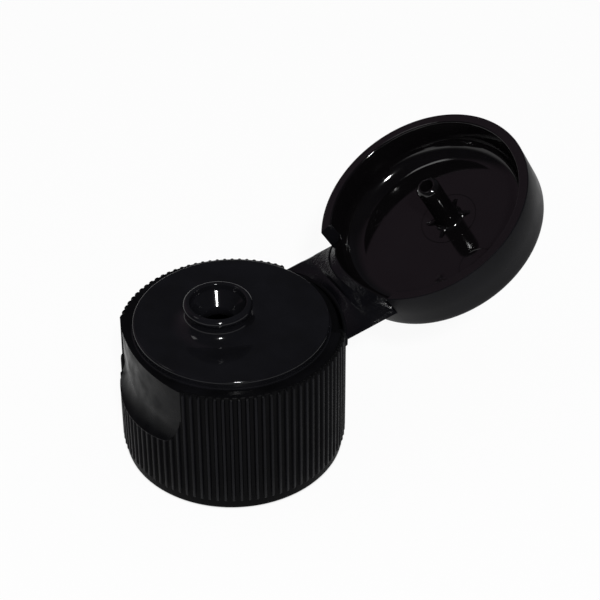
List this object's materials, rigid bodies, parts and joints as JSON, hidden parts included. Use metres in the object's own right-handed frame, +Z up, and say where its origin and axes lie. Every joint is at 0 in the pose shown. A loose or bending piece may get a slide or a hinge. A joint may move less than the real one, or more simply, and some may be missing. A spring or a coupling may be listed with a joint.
{
  "type": "flip top cap",
  "caption": "Ribbed screw cap for a bottle, with a raised deck, a pouring nozzle, a thumb recess and a dished lid held open on a living hinge; a pin in the lid stops the nozzle.",
  "frame": {"origin": "centre of the skirt's bottom rim, on the thread's axis, where the cap stands", "axes": "+Z up along the thread's axis towards the nozzle, -Y towards the thumb recess, +Y towards the hinge"},
  "size_m": [0.0282, 0.0563, 0.0334],
  "materials": {
    "black_polypropylene": "satin"
  },
  "bodies": {
    "cap": {"cap_body": "black_polypropylene", "hinge_web": "black_polypropylene"},
    "lid": {"lid": "black_polypropylene"}
  },
  "joints": [
    {"name": "lid_hinge", "type": "hinge", "parent": "cap", "child": "lid", "pos_m": [0, 0.01475, 0.0183], "axis": [1, 0, 0], "range_deg": [-30.5, 149.5], "deforming": ["hinge_web"]}
  ]
}
